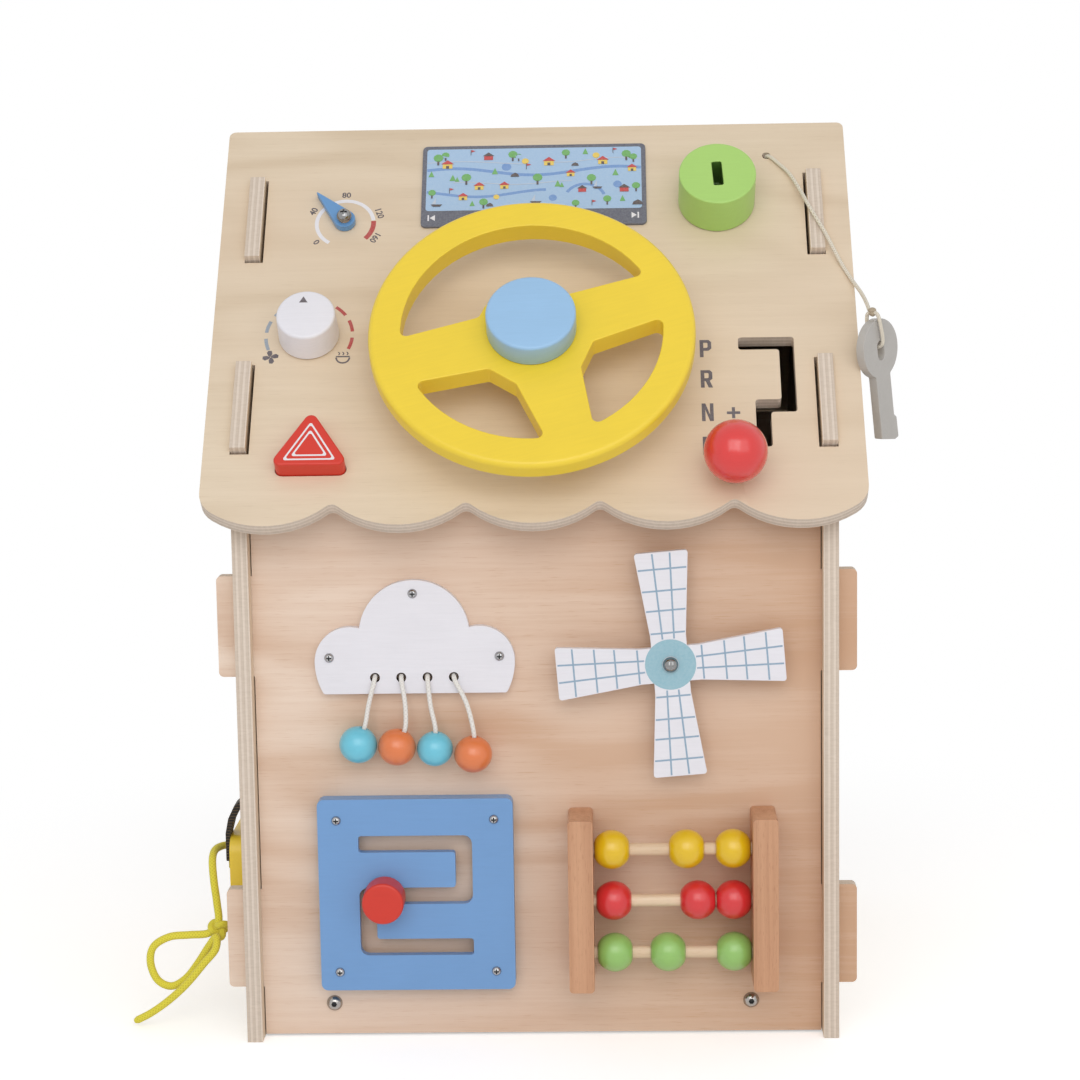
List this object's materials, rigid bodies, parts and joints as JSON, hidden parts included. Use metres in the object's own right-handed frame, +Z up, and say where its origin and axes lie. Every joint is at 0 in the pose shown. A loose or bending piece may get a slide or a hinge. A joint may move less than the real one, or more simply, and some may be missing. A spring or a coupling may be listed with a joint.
{
  "type": "activity house",
  "caption": "Toy house with a sloping dashboard roof, steering wheel, gear lever, knobs and a tethered key, over a rain cloud, windmill, slot maze and bead frame.",
  "frame": {"origin": "on the floor under the middle of the body, half way between the side walls and between their front and back edges", "axes": "+X to the right, +Y to the back, +Z up"},
  "size_m": [0.4082, 0.3472, 0.4714],
  "materials": {
    "ply": "clear-sealed birch plywood",
    "beech": "clear-sealed beech",
    "yellow_wood": "painted satin",
    "sky_wood": "painted satin",
    "blue_wood": "painted satin",
    "deep_blue_wood": "painted satin",
    "red_wood": "painted satin",
    "green_wood": "painted satin",
    "white_wood": "painted satin",
    "blue_bead": "painted gloss",
    "orange_bead": "painted gloss",
    "yellow_bead": "painted gloss",
    "red_bead": "painted gloss",
    "green_bead": "painted gloss",
    "mill_blue": "painted white with blue print",
    "mustard_wood": "painted satin",
    "screen": "printed sheet",
    "grey_paint": "painted satin",
    "steel": "nickel-plated",
    "dark_steel": "blackened",
    "cord": "waxed cotton",
    "lace": "woven",
    "black_rubber": "ribbed",
    "grey_plastic": "moulded"
  },
  "bodies": {
    "house": {"side_wall_left": "ply", "side_wall_right": "ply", "front_panel": "ply", "back_panel": "ply", "bottom_panel": "ply", "roof_front": "ply", "roof_back": "ply", "panel_bolts": "steel", "panel_nuts": "steel", "screen_plate": "screen", "pivot_spacers": "beech", "pivot_screws": "steel", "button_spring": "steel", "button_bracket": "grey_plastic", "key_cord": "cord", "cloud_board": "white_wood", "board_screws": "steel", "maze_board": "blue_wood", "abacus_posts": "beech", "abacus_rods": "beech", "shoe_board": "mustard_wood", "shoe_strap": "black_rubber", "shoe_lace": "lace", "lace_bow": "lace", "side_peg": "grey_plastic", "side_screw": "dark_steel"},
    "wheel": {"steering_wheel": "yellow_wood", "wheel_hub_cap": "sky_wood", "wheel_bolt": "steel", "wheel_nut": "steel"},
    "pointer": {"gauge_pointer": "deep_blue_wood"},
    "climate_knob": {"climate_knob": "white_wood", "knob_screw": "steel"},
    "hazard_button": {"hazard_button": "red_wood"},
    "ignition_lock": {"ignition_lock": "green_wood", "lock_screw": "steel"},
    "key": {"key": "grey_paint", "key_loop": "cord"},
    "gear_lever": {"gear_ball": "red_wood", "gear_slider": "beech"},
    "windmill": {"windmill": "mill_blue"},
    "maze_knob": {"maze_knob": "red_wood", "maze_slider": "beech"},
    "rain_1": {"rain_bead_1": "blue_bead", "rain_string_1": "cord"},
    "rain_2": {"rain_bead_2": "orange_bead", "rain_string_2": "cord"},
    "rain_3": {"rain_bead_3": "blue_bead", "rain_string_3": "cord"},
    "rain_4": {"rain_bead_4": "orange_bead", "rain_string_4": "cord"},
    "yellow_bead_1": {"yellow_bead_1": "yellow_bead"},
    "yellow_bead_2": {"yellow_bead_2": "yellow_bead"},
    "yellow_bead_3": {"yellow_bead_3": "yellow_bead"},
    "red_bead_1": {"red_bead_1": "red_bead"},
    "red_bead_2": {"red_bead_2": "red_bead"},
    "red_bead_3": {"red_bead_3": "red_bead"},
    "green_bead_1": {"green_bead_1": "green_bead"},
    "green_bead_2": {"green_bead_2": "green_bead"},
    "green_bead_3": {"green_bead_3": "green_bead"}
  },
  "joints": [
    {"name": "wheel_turn", "type": "hinge", "parent": "house", "child": "wheel", "pos_m": [0, -0.12098, 0.36146], "axis": [0, -0.766, 0.6428], "continuous": true},
    {"name": "pointer_turn", "type": "hinge", "parent": "house", "child": "pointer", "pos_m": [-0.1017, -0.04331, 0.42291], "axis": [0, -0.766, 0.6428], "continuous": true},
    {"name": "climate_knob_turn", "type": "hinge", "parent": "house", "child": "climate_knob", "pos_m": [-0.1173, -0.09337, 0.36792], "axis": [0, -0.766, 0.6428], "range_deg": [-120, 120]},
    {"name": "hazard_press", "type": "slide", "parent": "house", "child": "hazard_button", "axis": [0, 0.766, -0.6428], "range_m": [0, 0.003], "stiffness_N_per_m": 250, "springref_m": -0.002, "deforming": ["button_spring"]},
    {"name": "ignition_turn", "type": "hinge", "parent": "house", "child": "ignition_lock", "pos_m": [0.0975, -0.03879, 0.43296], "axis": [0, -0.766, 0.6428], "range_deg": [-90, 90]},
    {"name": "key_swing", "type": "hinge", "parent": "house", "child": "key", "pos_m": [0.1729, -0.1002, 0.3742], "axis": [0, -1, 0], "range_deg": [0, 60]},
    {"name": "gear_shift", "type": "slide", "parent": "house", "child": "gear_lever", "axis": [0, 0.6428, 0.766], "range_m": [0, 0.02]},
    {"name": "windmill_turn", "type": "hinge", "parent": "house", "child": "windmill", "pos_m": [0.0683, -0.144, 0.1989], "axis": [0, -1, 0], "continuous": true},
    {"name": "maze_slide", "type": "slide", "parent": "house", "child": "maze_knob", "axis": [1, 0, 0], "range_m": [-0.0087, 0.0409]},
    {"name": "rain_1_swing", "type": "hinge", "parent": "house", "child": "rain_1", "pos_m": [-0.08305, -0.1368, 0.1922], "axis": [-1, 0, 0], "range_deg": [0, 60]},
    {"name": "rain_2_swing", "type": "hinge", "parent": "house", "child": "rain_2", "pos_m": [-0.06955, -0.1368, 0.1922], "axis": [-1, 0, 0], "range_deg": [0, 60]},
    {"name": "rain_3_swing", "type": "hinge", "parent": "house", "child": "rain_3", "pos_m": [-0.05605, -0.1368, 0.1922], "axis": [-1, 0, 0], "range_deg": [0, 60]},
    {"name": "rain_4_swing", "type": "hinge", "parent": "house", "child": "rain_4", "pos_m": [-0.04255, -0.1368, 0.1922], "axis": [-1, 0, 0], "range_deg": [0, 60]},
    {"name": "yellow_bead_1_slide", "type": "slide", "parent": "house", "child": "yellow_bead_1", "axis": [1, 0, 0], "range_m": [-0.0002, 0.01]},
    {"name": "yellow_bead_2_slide", "type": "slide", "parent": "house", "child": "yellow_bead_2", "axis": [1, 0, 0], "range_m": [-0.01, 0.00275]},
    {"name": "yellow_bead_3_slide", "type": "slide", "parent": "house", "child": "yellow_bead_3", "axis": [1, 0, 0], "range_m": [-0.00275, 0.0003]},
    {"name": "red_bead_1_slide", "type": "slide", "parent": "house", "child": "red_bead_1", "axis": [1, 0, 0], "range_m": [-0.001, 0.0124]},
    {"name": "red_bead_2_slide", "type": "slide", "parent": "house", "child": "red_bead_2", "axis": [1, 0, 0], "range_m": [-0.0124, 0.00005]},
    {"name": "red_bead_3_slide", "type": "slide", "parent": "house", "child": "red_bead_3", "axis": [1, 0, 0], "range_m": [-0.00005, 0.0001]},
    {"name": "green_bead_1_slide", "type": "slide", "parent": "house", "child": "green_bead_1", "axis": [1, 0, 0], "range_m": [-0.0013, 0.0045]},
    {"name": "green_bead_2_slide", "type": "slide", "parent": "house", "child": "green_bead_2", "axis": [1, 0, 0], "range_m": [-0.0045, 0.00785]},
    {"name": "green_bead_3_slide", "type": "slide", "parent": "house", "child": "green_bead_3", "axis": [1, 0, 0], "range_m": [-0.00785, 0]}
  ]
}
